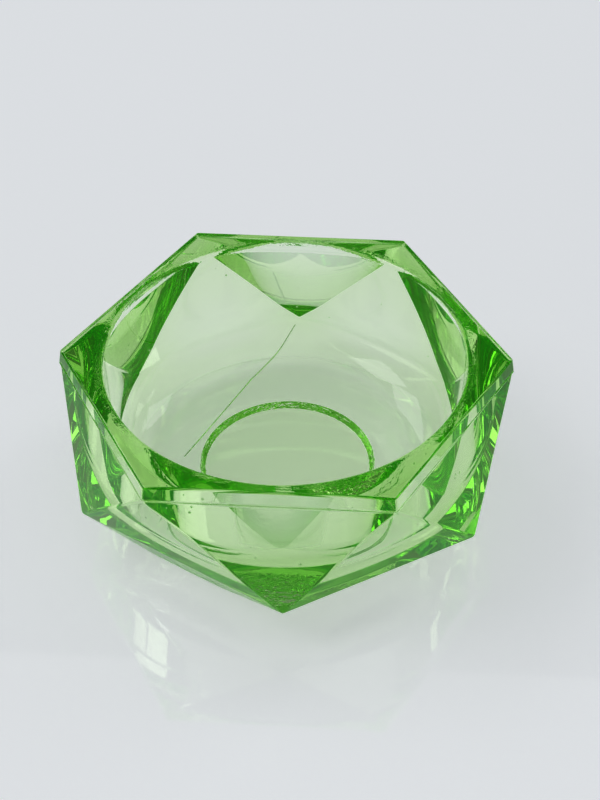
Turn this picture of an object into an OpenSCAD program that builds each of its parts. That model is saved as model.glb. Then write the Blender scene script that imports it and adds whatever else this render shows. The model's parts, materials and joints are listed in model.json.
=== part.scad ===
// Faceted glass dish: one pressed piece of green uranium glass.
//
// The outside is a hexagonal antiprism.  A plain upright band runs round under the rim.  Below it six
// facets point down from the band and six point up from the lower hexagon, which is turned by half a
// side.  The inside is a plain round bowl with a cove between its wall and its floor.  The underside
// draws in from the lower hexagon to a round knuckle, and steps down inside that to a low round foot.
//
// Millimetres, +Z up.  The origin is on the surface that the dish stands on, under its middle.

/* [Outside] */
// Height of the whole dish, from the foot to the flat of the rim
dish_height = 39; // [32:0.5:48]
// Across opposite corners of the girdle, the lower edge of the rim band
girdle_across_corners = 102; // [84:0.5:124]
// How far the rim band leans in over its height, at a corner
band_lean = 0.5; // [0.1:0.05:1]
// Height of the upright band between the rim and the girdle
band_height = 3.5; // [2:0.5:6]
// How much wider the lower hexagon is than the girdle, across corners
lower_flare = -0.8; // [-3:0.1:6]
// Height of the lower hexagon above the round knuckle
lower_rise = 6.2; // [5:0.1:9]
// Turn of the girdle's corners from the +X axis
dish_turn = 0; // [-30:1:30]

/* [Bowl] */
// Thickness of the wall at the rim, at the middle of a side
wall_thickness = 3.2; // [2.5:0.1:6]
// Thickness of glass between the foot's face and the bowl's floor
floor_thickness = 9; // [7:0.5:12]
// How far the wall leans in from the rim to the cove, on the radius
wall_draft = 1; // [0.5:0.1:2]
// Radius of the cove between the wall and the floor
cove_radius = 12.5; // [8:0.5:16]
// Radius of the rounded inner edge of the rim
lip_radius = 1; // [0.4:0.1:1.5]

/* [Foot] */
// Diameter of the foot where it meets the surface
foot_diameter = 39; // [32:0.5:50]
// Height of the foot, from the surface to the shoulder round it
foot_height = 3.5; // [2:0.1:5]
// Width of the hollow between the foot's wall and the shoulder's edge
foot_hollow = 2.6; // [1:0.1:4]
// How much wider the foot is above its face, on the radius
foot_draft = 0.9; // [0.2:0.1:1.5]
// How far the round knuckle stands in from the middle of the lower hexagon's sides
knuckle_inset = 4.2; // [2:0.1:6]
// Height of the knuckle above the shoulder
knuckle_rise = 0.3; // [0.2:0.1:2]

/* [Hidden] */

sides = 6;
// Flats along each sixth of the underside's rounds
steps = 16;
side_angle = 360 / sides;
half_side = side_angle / 2;
flats = sides * steps;

// The outside's sizes follow the girdle.
rim_across_corners = girdle_across_corners - 2 * band_lean;
lower_across_corners = girdle_across_corners + lower_flare;
girdle_height = dish_height - band_height;
knuckle_height = foot_height + knuckle_rise;
lower_height = knuckle_height + lower_rise;
knuckle_diameter = lower_across_corners * cos(half_side) - 2 * knuckle_inset;

// The shoulder follows the foot.
foot_top_diameter = foot_diameter + 2 * foot_draft;
foot_top_height = 0.92 * foot_height;
shoulder_diameter = foot_top_diameter + 2 * foot_hollow;

// The bowl follows the rim.
bowl_radius = rim_across_corners / 2 * cos(half_side) - wall_thickness;
bowl_floor = floor_thickness;
cove_centre = bowl_radius - wall_draft - cove_radius;
cove_height = bowl_floor + cove_radius;

// How far a cutting shape stands clear of what it cuts
clear = 1;
glass_green = "#6fc04a";

// Points evenly round a circle at one height; the first one stands at the angle "turn".
function ring(count, across, turn, z) =
    [for (i = [0 : count - 1])
        let (a = turn + i * 360 / count)
        [across / 2 * cos(a), across / 2 * sin(a), z]];

// The whole outside as one solid of flat faces.
module outside() {
    rings = concat(
        ring(sides, rim_across_corners, dish_turn, dish_height),
        ring(sides, girdle_across_corners, dish_turn, girdle_height),
        ring(sides, lower_across_corners, dish_turn + half_side, lower_height),
        ring(flats, knuckle_diameter, dish_turn, knuckle_height),
        ring(flats, shoulder_diameter, dish_turn, foot_height),
        ring(flats, foot_top_diameter, dish_turn, foot_top_height),
        ring(flats, foot_diameter, dish_turn, 0));
    girdle = sides;
    lower = 2 * sides;
    knuckle = 3 * sides;
    foot = knuckle + 3 * flats;

    rim_face = [[for (i = [sides - 1 : -1 : 0]) i]];
    band = [for (i = [0 : sides - 1])
        let (j = (i + 1) % sides)
        [girdle + i, i, j, girdle + j]];
    facets_down = [for (i = [0 : sides - 1])
        [lower + i, girdle + i, girdle + (i + 1) % sides]];
    facets_up = [for (i = [0 : sides - 1])
        let (j = (i + 1) % sides)
        [lower + i, girdle + j, lower + j]];
    // Each corner of the lower hexagon fans out to its own sixth of the knuckle.
    corner_fans = [for (i = [0 : sides - 1], k = [0 : steps - 1])
        let (from = i * steps + k)
        [knuckle + from, lower + i, knuckle + (from + 1) % flats]];
    edge_faces = [for (i = [0 : sides - 1])
        let (j = (i + 1) % sides)
        [knuckle + j * steps, lower + i, lower + j]];
    // The shoulder, the hollow beside the foot, and the foot's wall
    base_faces = [for (i = [0 : flats - 1], from = [knuckle : flats : foot - flats])
        let (j = (i + 1) % flats)
        [from + flats + i, from + i, from + j, from + flats + j]];
    foot_face = [[for (i = [0 : flats - 1]) foot + i]];

    polyhedron(
        points = rings,
        faces = concat(rim_face, band, facets_down, facets_up,
                       corner_fans, edge_faces, base_faces, foot_face));
}

// The round bowl, as the solid that is taken out of the body.
module bowl() {
    rotate_extrude($fn = 128) {
        // The floor and the cove
        translate([0, bowl_floor])
            square([cove_centre, dish_height - bowl_floor]);
        intersection() {
            translate([cove_centre, cove_height])
                circle(r = cove_radius);
            translate([cove_centre, bowl_floor])
                square(cove_radius);
        }
        // The wall
        polygon([
            [0, cove_height],
            [cove_centre + cove_radius, cove_height],
            [bowl_radius, dish_height - lip_radius],
            [bowl_radius, dish_height + clear],
            [0, dish_height + clear]]);
        // The rounded inner edge of the rim
        difference() {
            translate([bowl_radius - clear, dish_height - lip_radius])
                square([lip_radius + clear, lip_radius + clear]);
            translate([bowl_radius + lip_radius, dish_height - lip_radius])
                circle(r = lip_radius);
        }
    }
}

// The dish: one solid piece of glass.
module dish() {
    color(glass_green)
        difference() {
            outside();
            bowl();
        }
}

dish();
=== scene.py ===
"""The looks of the faceted glass dish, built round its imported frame.

The dish is one piece of pressed uranium glass.  It is modelled here with softened edges, corners a
little off their even places and a round bowl.  It is given its glass, set on a pale polished table
and lit by soft daylight.
"""

from __future__ import annotations

import json
import logging
import math
import random
from dataclasses import dataclass, field
from enum import Enum
from typing import Any, Callable

import bmesh
import bpy
from mathutils import Matrix, Vector

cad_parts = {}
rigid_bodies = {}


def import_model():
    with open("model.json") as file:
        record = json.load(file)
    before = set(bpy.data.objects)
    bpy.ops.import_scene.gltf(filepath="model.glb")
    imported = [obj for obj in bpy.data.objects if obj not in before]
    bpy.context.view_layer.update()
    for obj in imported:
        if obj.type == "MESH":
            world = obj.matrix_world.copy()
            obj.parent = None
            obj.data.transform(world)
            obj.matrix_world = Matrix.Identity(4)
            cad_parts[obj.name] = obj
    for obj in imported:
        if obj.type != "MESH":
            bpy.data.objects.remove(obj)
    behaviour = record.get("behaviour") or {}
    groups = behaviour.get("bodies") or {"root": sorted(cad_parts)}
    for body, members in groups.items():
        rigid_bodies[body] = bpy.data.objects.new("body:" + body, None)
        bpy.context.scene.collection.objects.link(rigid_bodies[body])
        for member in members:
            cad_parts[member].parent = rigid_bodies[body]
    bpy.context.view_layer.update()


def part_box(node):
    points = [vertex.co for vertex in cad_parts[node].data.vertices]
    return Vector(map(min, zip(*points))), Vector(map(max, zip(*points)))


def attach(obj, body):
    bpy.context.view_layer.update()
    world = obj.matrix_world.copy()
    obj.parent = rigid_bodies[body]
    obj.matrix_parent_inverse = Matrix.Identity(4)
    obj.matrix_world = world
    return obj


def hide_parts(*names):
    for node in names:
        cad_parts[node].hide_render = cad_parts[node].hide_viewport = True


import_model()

MM = 0.001
log = logging.getLogger("dish")


# ---------------------------------------------------------------------------------------------
# Small helpers
# ---------------------------------------------------------------------------------------------


def linear(colour: str, alpha: float = 1.0) -> tuple[float, float, float, float]:
    """Turn an sRGB hex colour into the linear values that a shader takes.

    Args:
        colour: The colour as "#rrggbb".
        alpha: The fourth value.

    Returns:
        Red, green, blue and alpha, linear.
    """
    parts = [int(colour[i : i + 2], 16) / 255 for i in (1, 3, 5)]
    out = [c / 12.92 if c <= 0.04045 else ((c + 0.055) / 1.055) ** 2.4 for c in parts]
    return out[0], out[1], out[2], alpha


def add_node(
    tree: bpy.types.NodeTree,
    kind: str,
    settings: dict[str, Any] | None = None,
    values: dict[str | int, Any] | None = None,
    links: dict[str | int, bpy.types.NodeSocket] | None = None,
) -> bpy.types.Node:
    """Add one shader node.

    Args:
        tree: The node tree.
        kind: The node's type name.
        settings: Properties of the node.
        values: Values for its own input sockets.
        links: Output sockets to join to its input sockets.

    Returns:
        The new node.
    """
    node = tree.nodes.new(kind)
    for name, value in (settings or {}).items():
        setattr(node, name, value)
    for name, value in (values or {}).items():
        node.inputs[name].default_value = value
    for name, socket in (links or {}).items():
        tree.links.new(socket, node.inputs[name])
    return node


def deselect_all() -> None:
    """Leave object mode with nothing selected and nothing active."""
    if bpy.context.object and bpy.context.object.mode != "OBJECT":
        bpy.ops.object.mode_set(mode="OBJECT")
    for thing in bpy.context.view_layer.objects:
        thing.select_set(False)
    bpy.context.view_layer.objects.active = None


def pick(piece: bpy.types.Object) -> None:
    """Make one piece the only selected and active object."""
    deselect_all()
    piece.select_set(True)
    bpy.context.view_layer.objects.active = piece


def edit(piece: bpy.types.Object) -> bmesh.types.BMesh:
    """Enter edit mode on a piece with nothing of its mesh selected, and give the mesh."""
    pick(piece)
    bpy.ops.object.mode_set(mode="EDIT")
    bpy.ops.mesh.select_all(action="DESELECT")
    return bmesh.from_edit_mesh(piece.data)


def select_edges(piece: bpy.types.Object, wanted: Callable[[Vector, Vector], bool]) -> int:
    """In edit mode, select the edges whose two ends pass a test of place.

    Args:
        piece: The piece being edited.
        wanted: Takes the two ends of an edge and says whether to select it.

    Returns:
        How many edges were selected.
    """
    bpy.ops.mesh.select_mode(type="EDGE")
    bpy.ops.mesh.select_all(action="DESELECT")
    mesh = bmesh.from_edit_mesh(piece.data)
    count = 0
    for edge in mesh.edges:
        if wanted(edge.verts[0].co, edge.verts[1].co):
            edge.select_set(True)
            count += 1
    mesh.select_flush_mode()
    bmesh.update_edit_mesh(piece.data)
    return count


def across(point: Vector) -> float:
    """Distance of a point from the Z axis."""
    return math.hypot(point.x, point.y)


# ---------------------------------------------------------------------------------------------
# The glass
# ---------------------------------------------------------------------------------------------


@dataclass(frozen=True)
class PressedUraniumGlass:
    """Soda-lime glass tinted with a little uranium and iron, pressed hot in an iron mould.

    Thin glass is a pale sage and thick glass a deep leaf green, because the tint is in the glass
    and not on it.  The mould leaves the surface bright but very slightly rippled.  Each pair of
    places below says where a mark is still off and where it is fully on, in millimetres.
    """

    name: str = "pressed_uranium_glass"
    ior: float = 1.52
    roughness: float = 0.0
    # What white light becomes after the depth of glass below
    tint: str = "#f1fbe6"
    tint_depth_mm: float = 8.0
    # Uranium turns the blue and violet in daylight to a little green of its own; here that is a
    # painted glow, a faint even green emission of the glass that shines whatever the light
    glow: str = "#58ff10"
    glow_strength: float = 0.012
    # Each grain: millimetres from crest to crest, the rise, the detail and its roughness
    ripple: tuple[float, ...] = (14.0, 0.05, 1.0, 0.4)
    pebble: tuple[float, ...] = (1.6, 0.45, 2.0, 0.5)
    nick: tuple[float, ...] = (2.2, 0.35, 3.0, 0.6)
    # The pebbles under the front corner, by Y and by height
    pit_y: tuple[float, float] = (-25.0, -29.0)
    pit_height: tuple[float, float] = (10.2, 9.4)
    # The pebbles on the foot's wall, by radius and by height
    foot_radius: tuple[float, float] = (18.9, 19.3)
    foot_height: tuple[float, float] = (3.4, 3.2)
    # The nicks along the inner lip, by radius and by height
    lip_radius: tuple[float, float] = (43.0, 42.0)
    lip_height: tuple[float, float] = (37.4, 38.2)
    # The mould seam: its ends in plan, its half width, its height, and how far up it goes
    seam_start: tuple[float, float] = (0.0, 50.0)
    seam_end: tuple[float, float] = (-24.0, 0.0)
    seam_width: float = 0.3
    seam_rise: float = 0.2
    seam_height: tuple[float, float] = (8.8, 8.4)

    def build(self) -> bpy.types.Material:
        """Make the glass.

        Returns:
            The material.
        """
        material = bpy.data.materials.new(self.name)
        material.use_nodes = True
        tree = material.node_tree
        tree.nodes.clear()
        glass = add_node(
            tree,
            "ShaderNodeBsdfPrincipled",
            values={
                "Base Color": (1.0, 1.0, 1.0, 1.0),
                "Roughness": self.roughness,
                "IOR": self.ior,
                "Transmission Weight": 1.0,
                # Painted glow: a faint green emission standing in for the uranium's fluorescence
                "Emission Color": linear(self.glow),
                "Emission Strength": self.glow_strength,
            },
            links={"Normal": self.relief(tree)},
        )
        colour, density = self.absorption()
        volume = add_node(
            tree, "ShaderNodeVolumeAbsorption", values={"Color": colour, "Density": density}
        )
        add_node(
            tree,
            "ShaderNodeOutputMaterial",
            links={"Surface": glass.outputs["BSDF"], "Volume": volume.outputs["Volume"]},
        )
        # The glow is too faint to sample as a lamp.
        material.cycles.emission_sampling = "NONE"
        return material

    def relief(self, tree: bpy.types.NodeTree) -> bpy.types.NodeSocket:
        """Work the mould's marks into the surface, one over the other.

        Args:
            tree: The node tree.

        Returns:
            The surface's normal.
        """
        place = add_node(tree, "ShaderNodeTexCoord").outputs["Object"]
        part = add_node(tree, "ShaderNodeSeparateXYZ", links={"Vector": place})
        height = part.outputs["Z"]
        flat = add_node(
            tree,
            "ShaderNodeVectorMath",
            settings={"operation": "MULTIPLY"},
            values={1: (1.0, 1.0, 0.0)},
            links={0: place},
        )
        radius = add_node(
            tree,
            "ShaderNodeVectorMath",
            settings={"operation": "LENGTH"},
            links={0: flat.outputs["Vector"]},
        ).outputs["Value"]
        # The ripple is some 14 mm from crest to crest, as a cooling gob leaves it.
        normal = self.grain(tree, place, self.ripple)
        # The mould's base was pitted under one corner and round the foot, and left pebbles there.
        wall = self.joined(
            tree,
            "MULTIPLY",
            self.band(tree, radius, *self.foot_radius),
            self.band(tree, height, *self.foot_height),
        )
        corner = self.joined(
            tree,
            "MULTIPLY",
            self.band(tree, part.outputs["Y"], *self.pit_y),
            self.band(tree, height, *self.pit_height),
        )
        pitted = self.joined(tree, "MAXIMUM", corner, wall)
        normal = self.grain(tree, place, self.pebble, pitted, normal)
        # The plunger pinched the inner edge of the rim, which is nicked and uneven.
        lip = self.joined(
            tree,
            "MULTIPLY",
            self.band(tree, radius, *self.lip_radius),
            self.band(tree, height, *self.lip_height),
        )
        normal = self.grain(tree, place, self.nick, lip, normal)
        # Two halves of the mould's base met along a hairline, from the rear corner to the foot.
        bump = add_node(
            tree,
            "ShaderNodeBump",
            values={"Strength": 1.0, "Distance": self.seam_rise * MM},
            links={"Height": self.seam(tree, place, height), "Normal": normal},
        )
        return bump.outputs["Normal"]

    @staticmethod
    def grain(
        tree: bpy.types.NodeTree,
        place: bpy.types.NodeSocket,
        grain: tuple[float, ...],
        where: bpy.types.NodeSocket | None = None,
        normal: bpy.types.NodeSocket | None = None,
    ) -> bpy.types.NodeSocket:
        """Raise one grain from the surface.

        Args:
            tree: The node tree.
            place: Object coordinates.
            grain: Millimetres from crest to crest, the rise, the detail and its roughness.
            where: How strong the grain is, from 0 to 1, or None for everywhere.
            normal: The normal so far, or None for the mesh's own.

        Returns:
            The new normal.
        """
        size, rise, detail, roughness = grain
        noise = add_node(
            tree,
            "ShaderNodeTexNoise",
            values={"Scale": 1 / (size * MM), "Detail": detail, "Roughness": roughness},
            links={"Vector": place},
        )
        links = {"Height": noise.outputs["Fac"], "Strength": where, "Normal": normal}
        bump = add_node(
            tree,
            "ShaderNodeBump",
            values={"Strength": 1.0, "Distance": rise * MM},
            links={name: socket for name, socket in links.items() if socket},
        )
        return bump.outputs["Normal"]

    @staticmethod
    def joined(
        tree: bpy.types.NodeTree,
        operation: str,
        first: bpy.types.NodeSocket,
        second: bpy.types.NodeSocket,
    ) -> bpy.types.NodeSocket:
        """Join two values by a sum of one step.

        Args:
            tree: The node tree.
            operation: The math node's operation.
            first: One value.
            second: The other value.

        Returns:
            The result.
        """
        node = add_node(
            tree,
            "ShaderNodeMath",
            settings={"operation": operation},
            links={0: first, 1: second},
        )
        return node.outputs["Value"]

    def seam(
        self, tree: bpy.types.NodeTree, place: bpy.types.NodeSocket, height: bpy.types.NodeSocket
    ) -> bpy.types.NodeSocket:
        """Draw the mould seam across the underside.

        Args:
            tree: The node tree.
            place: Object coordinates.
            height: Their Z.

        Returns:
            The seam's height, from 0 to 1.
        """
        start, end = (Vector((x * MM, y * MM, 0)) for x, y in (self.seam_start, self.seam_end))
        along = (end - start).normalized()
        aside = add_node(
            tree,
            "ShaderNodeVectorMath",
            settings={"operation": "DOT_PRODUCT"},
            values={1: (-along.y, along.x, 0)},
            links={0: place},
        )
        offset = add_node(
            tree,
            "ShaderNodeMath",
            settings={"operation": "SUBTRACT"},
            values={1: start.x * -along.y + start.y * along.x},
            links={0: aside.outputs["Value"]},
        )
        distance = add_node(
            tree,
            "ShaderNodeMath",
            settings={"operation": "ABSOLUTE"},
            links={0: offset.outputs["Value"]},
        )
        far = add_node(
            tree,
            "ShaderNodeVectorMath",
            settings={"operation": "DOT_PRODUCT"},
            values={1: along},
            links={0: place},
        )
        here = self.band(tree, distance.outputs["Value"], self.seam_width, 0.0)
        low = self.band(tree, height, *self.seam_height)
        last = end.dot(along) / MM
        until = self.band(tree, far.outputs["Value"], last + 1, last)
        return self.joined(tree, "MULTIPLY", here, self.joined(tree, "MULTIPLY", low, until))

    @staticmethod
    def band(
        tree: bpy.types.NodeTree, value: bpy.types.NodeSocket, off_mm: float, on_mm: float
    ) -> bpy.types.NodeSocket:
        """Make a soft switch on a distance.

        Args:
            tree: The node tree.
            value: The distance, in metres.
            off_mm: Where the switch is still off, in millimetres.
            on_mm: Where it is fully on.

        Returns:
            The switch, from 0 to 1.
        """
        node = add_node(
            tree,
            "ShaderNodeMapRange",
            settings={"interpolation_type": "SMOOTHSTEP"},
            values={1: off_mm * MM, 2: on_mm * MM, 3: 0.0, 4: 1.0},
            links={"Value": value},
        )
        return node.outputs["Result"]

    def absorption(self) -> tuple[tuple[float, float, float, float], float]:
        """Work out the absorption that gives the tint at its depth.

        Returns:
            The colour and the density for the volume, where what is lost in a metre is
            density * (1 - colour).
        """
        seen = linear(self.tint)
        depth = self.tint_depth_mm * MM
        lost = [-math.log(c) / depth for c in seen[:3]]
        density = max(lost) * 1.02
        red, green, blue = (1 - c / density for c in lost)
        return (red, green, blue, 1.0), density


# ---------------------------------------------------------------------------------------------
# The dish
# ---------------------------------------------------------------------------------------------


@dataclass(frozen=True)
class Seeds:
    """The small bubbles in the thick corners, in millimetres and degrees."""

    count: int = 34
    # The number that starts the random draws
    draw: int = 11
    # How many are at the upper corners, and how far round from its corner one can be
    upper_share: float = 0.4
    spread: float = 11.0
    upper_height: tuple[float, float] = (24.0, 33.0)
    lower_height: tuple[float, float] = (11.0, 22.0)
    reach: tuple[float, float] = (43.2, 45.0)
    radius: tuple[float, float] = (0.12, 0.32)


@dataclass
class GlassDish:
    """The one piece of glass: six sides outside, a round bowl inside, a low round foot below.

    Sizes are in millimetres.  The height and the width across corners come from the frame.
    """

    sides: int = 6
    band_height: float = 3.5
    band_lean: float = 0.6
    ledge: float = 0.3
    # How far the lower hexagon's corners stand inside the girdle's
    lower_inset: float = 0.4
    lower_height: float = 10.0
    wall_thickness: float = 3.2
    wall_draft: float = 1.0
    bowl_floor: float = 9.0
    cove_radius: float = 12.5
    lip_radius: float = 0.9
    knuckle_inset: float = 4.2
    knuckle_height: float = 3.8
    # The shoulder round the foot, the hollow beside it and the small round at the foot's root
    shoulder_diameter: float = 46.0
    hollow_drop: float = 0.1
    root_round: float = 0.4
    root_drop: float = 0.2
    # The foot, a short disc with a nearly upright wall
    foot_height: float = 3.5
    foot_diameter: float = 39.0
    foot_draft: float = 0.9
    # How much the edges are softened
    edge_round: float = 0.5
    knuckle_round: float = 2.4
    foot_round: float = 0.3
    # Edges flatter than this, in degrees, are shaded smooth.
    smooth_under: float = 35.0
    # How far each upper and each lower corner stands off its even place, in degrees
    upper_drift: tuple[float, ...] = (1.1, -0.6, -0.9, 1.4, -1.3, 0.4)
    lower_drift: tuple[float, ...] = (0.0, 0.0, 0.0, -2.1, 2.9, -1.0)
    # How much further each lower corner stands out
    lower_reach: tuple[float, ...] = (0.4, 0.0, 0.45, 0.0, 0.0, 0.0)
    # How finely the rounds are cut
    flats: int = 96
    bowl_flats: int = 128
    cove_steps: int = 14
    # How far a cutter or a test of place stands clear of what it is for
    clear: float = 0.5
    seeds: Seeds = field(default_factory=Seeds)
    glass: PressedUraniumGlass = field(default_factory=PressedUraniumGlass)

    def __post_init__(self) -> None:
        """Take the overall sizes from the frame."""
        low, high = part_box("dish")
        self.height = (high.z - low.z) / MM
        self.corner = (high.x - low.x) / 2 / MM
        self.half_side = math.pi / self.sides
        self.apothem = (self.corner - self.band_lean) * math.cos(self.half_side)
        self.bowl_radius = self.apothem - self.wall_thickness
        self.girdle_height = self.height - self.band_height

    def build(self) -> bpy.types.Object:
        """Model the dish and dress it.

        Returns:
            The finished piece.
        """
        dish = self.outside()
        self.soften_outer_edges(dish)
        self.cut(dish, self.bowl())
        self.soften_lip(dish)
        self.finish_surface(dish)
        self.add_seeds(dish)
        dish.data.materials.append(self.glass.build())
        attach(dish, "root")
        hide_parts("dish")
        return dish

    def outside(self) -> bpy.types.Object:
        """Model the body without its hollows: rim, girdle, lower hexagon, knuckle and foot.

        Returns:
            The solid body.
        """
        deselect_all()
        bpy.ops.mesh.primitive_circle_add(
            vertices=self.sides,
            radius=(self.corner - self.band_lean) * MM,
            fill_type="NGON",
            location=(0, 0, self.height * MM),
            rotation=(0, 0, -math.pi / 2),
        )
        body = bpy.context.object
        body.name = body.data.name = "glass_dish"
        bpy.ops.object.transform_apply(location=True, rotation=True, scale=True)
        bpy.ops.object.mode_set(mode="EDIT")
        bpy.ops.mesh.select_mode(type="EDGE")
        bpy.ops.mesh.select_all(action="SELECT")
        # The band: down to the girdle, a little wider
        self.step_down(self.band_height, self.corner / (self.corner - self.band_lean))
        # The ledge: the facets start a little inside the band
        self.step_down(self.ledge, 1 - self.ledge / self.corner)
        # The facets: down to the lower hexagon, turned by half a side
        drop = self.girdle_height - self.ledge - self.lower_height
        widen = (self.corner - self.lower_inset) / (self.corner - self.ledge)
        self.step_down(drop, widen, self.half_side)
        self.split_facets(body)
        self.set_corners(body)
        self.close_underside(body)
        bpy.ops.object.mode_set(mode="OBJECT")
        return body

    def step_down(self, drop: float, widen: float, turn: float = 0.0) -> None:
        """Extrude the selected outline downwards, then resize and turn it.

        Args:
            drop: How far down, in millimetres.
            widen: The outline's new size over its old one.
            turn: How far to turn it about the Z axis, in radians.
        """
        bpy.ops.mesh.extrude_edges_move(TRANSFORM_OT_translate={"value": (0, 0, -drop * MM)})
        bpy.ops.transform.resize(value=(widen, widen, 1), center_override=(0, 0, 0))
        if turn:
            bpy.ops.transform.rotate(value=turn, orient_axis="Z", center_override=(0, 0, 0))

    def split_facets(self, body: bpy.types.Object) -> None:
        """Split each twisted panel into one facet that points down and one that points up.

        Args:
            body: The body, in edit mode.
        """
        bpy.ops.mesh.select_mode(type="VERT")
        for side in range(self.sides):
            bpy.ops.mesh.select_all(action="DESELECT")
            mesh = bmesh.from_edit_mesh(body.data)
            upper = self.spot(2 * side * self.half_side, self.girdle_height - self.ledge)
            lower = self.spot((2 * side + 1) * self.half_side, self.lower_height)
            for vert in mesh.verts:
                near = min((vert.co - upper).length, (vert.co - lower).length)
                vert.select_set(near < MM)
            mesh.select_flush_mode()
            bmesh.update_edit_mesh(body.data)
            bpy.ops.mesh.vert_connect()

    def spot(self, angle: float, height: float) -> Vector:
        """Give the point of a corner at an angle about the Z axis and a height in millimetres."""
        radius = self.corner * MM
        return Vector((radius * math.cos(angle), radius * math.sin(angle), height * MM))

    def set_corners(self, body: bpy.types.Object) -> None:
        """Turn each corner a little off its even place, as the worn mould has it.

        Args:
            body: The body, in edit mode.
        """
        mesh = bmesh.from_edit_mesh(body.data)
        for vert in mesh.verts:
            lower = vert.co.z < (self.lower_height + 1) * MM
            turn = math.atan2(vert.co.y, vert.co.x) / (2 * self.half_side) - (0.5 if lower else 0)
            corner = round(turn) % self.sides
            drift = (self.lower_drift if lower else self.upper_drift)[corner]
            vert.co = Matrix.Rotation(math.radians(drift), 3, "Z") @ vert.co
            if lower:
                out = 1 + self.lower_reach[corner] / self.corner
                vert.co.x, vert.co.y = vert.co.x * out, vert.co.y * out
        bmesh.update_edit_mesh(body.data)

    def close_underside(self, body: bpy.types.Object) -> None:
        """Draw the lower hexagon in to the round knuckle, and that in to the foot.

        Args:
            body: The body, in edit mode.
        """
        knuckle = self.corner * math.cos(self.half_side) - self.knuckle_inset
        bpy.ops.mesh.primitive_circle_add(
            vertices=self.flats, radius=knuckle * MM, location=(0, 0, self.knuckle_height * MM)
        )
        select_edges(
            body,
            lambda a, b: self.level(a, b, self.lower_height)
            or self.level(a, b, self.knuckle_height),
        )
        bpy.ops.mesh.bridge_edge_loops()
        select_edges(body, lambda a, b: self.level(a, b, self.knuckle_height))
        shoulder, foot = self.shoulder_diameter / 2, self.foot_diameter / 2
        root = foot + self.foot_draft
        wall = self.foot_height - self.hollow_drop - self.root_drop
        self.step_down(self.knuckle_height - self.foot_height, shoulder / knuckle)
        self.step_down(self.hollow_drop, (root + self.root_round) / shoulder)
        self.step_down(self.root_drop, root / (root + self.root_round))
        self.step_down(wall, foot / root)
        bpy.ops.mesh.edge_face_add()
        bpy.ops.mesh.select_all(action="SELECT")
        bpy.ops.mesh.normals_make_consistent(inside=False)

    @staticmethod
    def level(a: Vector, b: Vector, height: float) -> bool:
        """Say whether both ends of an edge lie at a height in millimetres."""
        return abs(a.z - height * MM) < 0.02 * MM and abs(b.z - height * MM) < 0.02 * MM

    def soften_outer_edges(self, body: bpy.types.Object) -> None:
        """Round the body's sharp edges, as fire polishing leaves them.

        Args:
            body: The solid body.
        """
        edit(body)
        floor = (self.lower_height - self.clear) * MM
        select_edges(body, lambda a, b: a.z > floor and b.z > floor)
        bpy.ops.mesh.bevel(
            offset=self.edge_round * MM,
            offset_type="OFFSET",
            segments=3,
            profile=0.5,
            affect="EDGES",
            clamp_overlap=False,
            miter_outer="SHARP",
        )
        select_edges(body, lambda a, b: self.level(a, b, self.knuckle_height))
        bpy.ops.mesh.bevel(offset=self.knuckle_round * MM, segments=5, affect="EDGES")
        select_edges(body, lambda a, b: self.level(a, b, 0))
        bpy.ops.mesh.bevel(offset=self.foot_round * MM, segments=2, affect="EDGES")
        bpy.ops.object.mode_set(mode="OBJECT")

    def bowl(self) -> bpy.types.Object:
        """Model the round bowl as the solid that it takes out of the body.

        Returns:
            The cutter.
        """
        centre = self.bowl_radius - self.wall_draft - self.cove_radius
        cove = [
            (
                centre + self.cove_radius * math.sin(i / self.cove_steps * math.pi / 2),
                self.bowl_floor
                + self.cove_radius * (1 - math.cos(i / self.cove_steps * math.pi / 2)),
            )
            for i in range(self.cove_steps + 1)
        ]
        # The wall goes on past the rim, in line.
        wall_foot, low = cove[-1]
        top = self.height + 4 * self.clear
        rise = (top - low) / (self.height - low)
        outline = [*cove, (wall_foot + self.wall_draft * rise, top)]
        return self.turned("bowl_cut", outline, self.bowl_flats)

    @staticmethod
    def turned(name: str, outline: list[tuple[float, float]], flats: int) -> bpy.types.Object:
        """Model a closed turned solid by extruding a disc along its outline.

        Args:
            name: The solid's name.
            outline: Radius and height of each ring, from the bottom up, in millimetres.
            flats: Flats round the axis.

        Returns:
            The solid, closed by flat discs at both ends.
        """
        deselect_all()
        radius, height = outline[0]
        bpy.ops.mesh.primitive_circle_add(
            vertices=flats, radius=radius * MM, fill_type="NGON", location=(0, 0, height * MM)
        )
        solid = bpy.context.object
        solid.name = name
        bpy.ops.object.transform_apply(location=True, rotation=True, scale=True)
        bpy.ops.object.mode_set(mode="EDIT")
        bpy.ops.mesh.select_mode(type="FACE")
        bpy.ops.mesh.select_all(action="SELECT")
        for (was, low), (now, high) in zip(outline, outline[1:]):
            bpy.ops.mesh.extrude_region_move(
                TRANSFORM_OT_translate={"value": (0, 0, (high - low) * MM)}
            )
            bpy.ops.transform.resize(value=(now / was, now / was, 1), center_override=(0, 0, 0))
        bpy.ops.mesh.select_all(action="SELECT")
        bpy.ops.mesh.normals_make_consistent(inside=False)
        bpy.ops.object.mode_set(mode="OBJECT")
        return solid

    @staticmethod
    def cut(body: bpy.types.Object, cutter: bpy.types.Object) -> None:
        """Take a cutter out of the body, and throw the cutter away.

        Args:
            body: The body.
            cutter: The solid to take out.
        """
        pick(body)
        boolean = body.modifiers.new("cut", "BOOLEAN")
        boolean.operation, boolean.solver, boolean.object = "DIFFERENCE", "EXACT", cutter
        bpy.ops.object.modifier_apply(modifier=boolean.name)
        bpy.data.objects.remove(cutter, do_unlink=True)

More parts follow.
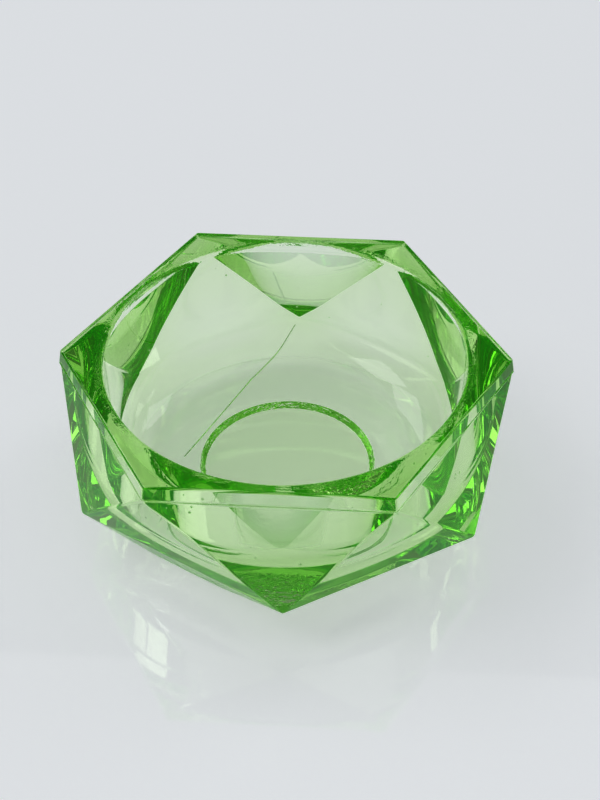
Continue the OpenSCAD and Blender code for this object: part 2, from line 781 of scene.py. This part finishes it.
    def soften_lip(self, body: bpy.types.Object) -> None:
        """Round the inner edge of the rim.

        Args:
            body: The body with its bowl.
        """
        edit(body)
        inside = (self.bowl_radius + self.clear) * MM
        select_edges(
            body,
            lambda a, b: self.level(a, b, self.height)
            and max(across(a), across(b)) < inside,
        )
        bpy.ops.mesh.bevel(offset=self.lip_radius * MM, segments=4, affect="EDGES")
        bpy.ops.object.mode_set(mode="OBJECT")

    def finish_surface(self, body: bpy.types.Object) -> None:
        """Give the body even shading: true flats, and smooth rounds between them.

        Args:
            body: The finished body.
        """
        pick(body)
        bpy.ops.object.shade_smooth_by_angle(angle=math.radians(self.smooth_under))
        weigh = body.modifiers.new("weigh", "WEIGHTED_NORMAL")
        weigh.mode, weigh.keep_sharp, weigh.weight = "FACE_AREA", True, 50
        bpy.ops.object.modifier_apply(modifier=weigh.name)

    def add_seeds(self, body: bpy.types.Object) -> None:
        """Blow the seeds, the small bubbles that a hand-fed furnace leaves in the thick corners.

        Args:
            body: The finished body.
        """
        seeds = self.seeds
        chance = random.Random(seeds.draw)
        edit(body)
        bpy.ops.mesh.select_mode(type="FACE")
        for _ in range(seeds.count):
            upper = chance.random() < seeds.upper_share
            corner = 2 * chance.randrange(self.sides) + (0 if upper else 1)
            aside = math.radians(chance.uniform(-seeds.spread, seeds.spread))
            angle = corner * self.half_side + aside
            height = chance.uniform(*(seeds.upper_height if upper else seeds.lower_height))
            reach = chance.uniform(*seeds.reach)
            bpy.ops.mesh.primitive_ico_sphere_add(
                subdivisions=2,
                radius=chance.uniform(*seeds.radius) * MM,
                location=(reach * MM * math.cos(angle), reach * MM * math.sin(angle), height * MM),
            )
            # A bubble's faces look into it, out of the glass
            bpy.ops.mesh.flip_normals()
            bpy.ops.mesh.faces_shade_smooth()
            bpy.ops.mesh.select_all(action="DESELECT")
        bpy.ops.object.mode_set(mode="OBJECT")


# ---------------------------------------------------------------------------------------------
# The set
# ---------------------------------------------------------------------------------------------


@dataclass(frozen=True)
class PolishedTable:
    """A sheet of white acrylic: pale, and polished enough to mirror the dish faintly."""

    name: str = "white_acrylic"
    colour: str = "#dcdee0"
    roughness: float = 0.03
    # The sheet is lit from below as well, so the dish hardly darkens it
    glow: float = 0.76
    drop_mm: float = 0.2
    size: float = 6.0

    def build(self) -> bpy.types.Object:
        """Lay the table top just under the dish.

        Returns:
            The table top.
        """
        deselect_all()
        bpy.ops.mesh.primitive_plane_add(size=self.size, location=(0, 0, -self.drop_mm * MM))
        table = bpy.context.object
        table.name = "table_top"
        material = bpy.data.materials.new(self.name)
        material.use_nodes = True
        tree = material.node_tree
        tree.nodes.clear()
        shader = add_node(
            tree,
            "ShaderNodeBsdfPrincipled",
            values={
                "Base Color": linear(self.colour),
                "Roughness": self.roughness,
                "IOR": 1.75,
                "Specular IOR Level": 0.5,
                "Emission Color": linear(self.colour),
                "Emission Strength": self.glow,
            },
        )
        add_node(tree, "ShaderNodeOutputMaterial", links={"Surface": shader.outputs["BSDF"]})
        table.data.materials.append(material)
        return table


class Light(Enum):
    """The soft lights of the set: where each stands and aims, its size and its power."""

    OVERHEAD = ((0.12, 0.3, 1.4), (0.12, 0.3, 0.0), (1.5, 1.5), 3.0)
    WINDOW = ((-1.3, 1.0, 1.6), (0.0, 0.0, 0.02), (1.2, 0.8), 7.0)
    SIDE_WINDOW = ((-1.3, -0.1, 1.6), (0.0, 0.0, 0.02), (0.9, 0.9), 7.0)
    DOOR = ((1.2, 1.0, 0.9), (0.0, 0.0, 0.02), (0.5, 1.2), 4.0)

    def build(self) -> bpy.types.Object:
        """Hang the light."""
        place, aim, size, power = self.value
        deselect_all()
        turn = (Vector(aim) - Vector(place)).to_track_quat("-Z", "Y").to_euler()
        bpy.ops.object.light_add(type="AREA", location=place, rotation=turn)
        lamp = bpy.context.object
        lamp.name = f"{self.name.lower()}_light"
        lamp.data.shape = "RECTANGLE"
        lamp.data.size, lamp.data.size_y = size
        lamp.data.energy = power
        return lamp


@dataclass(frozen=True)
class Daylight:
    """The pale room round the table."""

    colour: str = "#e8ecf2"
    strength: float = 0.32

    def build(self) -> bpy.types.World:
        """Fill the world with soft daylight.

        Returns:
            The world.
        """
        world = bpy.data.worlds.new("daylight")
        world.use_nodes = True
        tree = world.node_tree
        tree.nodes.clear()
        sky = add_node(
            tree,
            "ShaderNodeBackground",
            values={"Color": linear(self.colour), "Strength": self.strength},
        )
        add_node(tree, "ShaderNodeOutputWorld", links={"Surface": sky.outputs["Background"]})
        bpy.context.scene.world = world
        return world


@dataclass(frozen=True)
class Camera:
    """A telephone's camera held above and in front of the dish."""

    lens_mm: float = 73.4
    distance: float = 0.3865
    elevation: float = 42.38
    roll: float = -0.713
    aim: tuple[float, float, float] = (0.00315, 0.0110, 0.0150)
    # The camera's turn about the dish
    turn: float = 4.1

    def build(self) -> bpy.types.Object:
        """Set the camera up and make it the scene's.

        Returns:
            The camera.
        """
        deselect_all()
        bpy.ops.object.camera_add()
        camera = bpy.context.object
        camera.name = "camera"
        rise, roll = math.radians(self.elevation), math.radians(self.roll)
        away = Vector((0, -math.cos(rise), math.sin(rise)))
        right = Vector((1, 0, 0))
        up = right.cross(-away)
        tilted = math.cos(roll) * right + math.sin(roll) * up
        upright = math.cos(roll) * up - math.sin(roll) * right
        turn = Matrix.Rotation(math.radians(self.turn), 3, "Z")
        axes = Matrix((tilted, upright, away)).transposed()
        place = turn @ (Vector(self.aim) + self.distance * away)
        camera.matrix_world = Matrix.Translation(place) @ (turn @ axes).to_4x4()
        camera.data.sensor_width = 36.0
        camera.data.lens = self.lens_mm
        camera.data.clip_start, camera.data.clip_end = 0.01, 20.0
        bpy.context.scene.camera = camera
        return camera


def set_light_paths() -> None:
    """Let light pass through the many walls of thick glass, and keep its colours plain."""
    scene = bpy.context.scene
    cycles = scene.cycles
    cycles.max_bounces, cycles.transmission_bounces, cycles.glossy_bounces = 40, 40, 24
    cycles.diffuse_bounces = 6
    cycles.caustics_reflective = cycles.caustics_refractive = True
    cycles.sample_clamp_indirect = 6.0
    scene.view_settings.view_transform = "Standard"
    scene.view_settings.look = "High Contrast"
    scene.view_settings.exposure = -0.92


def main() -> None:
    """Build the dish and its set."""
    Camera().build()
    dish = GlassDish().build()
    log.info("%s: %d faces", dish.name, len(dish.data.polygons))
    for part in (PolishedTable(), Daylight(), *Light):
        log.info("%s", part.build().name)
    set_light_paths()


if __name__ == "__main__":
    logging.basicConfig(level=logging.INFO)
    main()
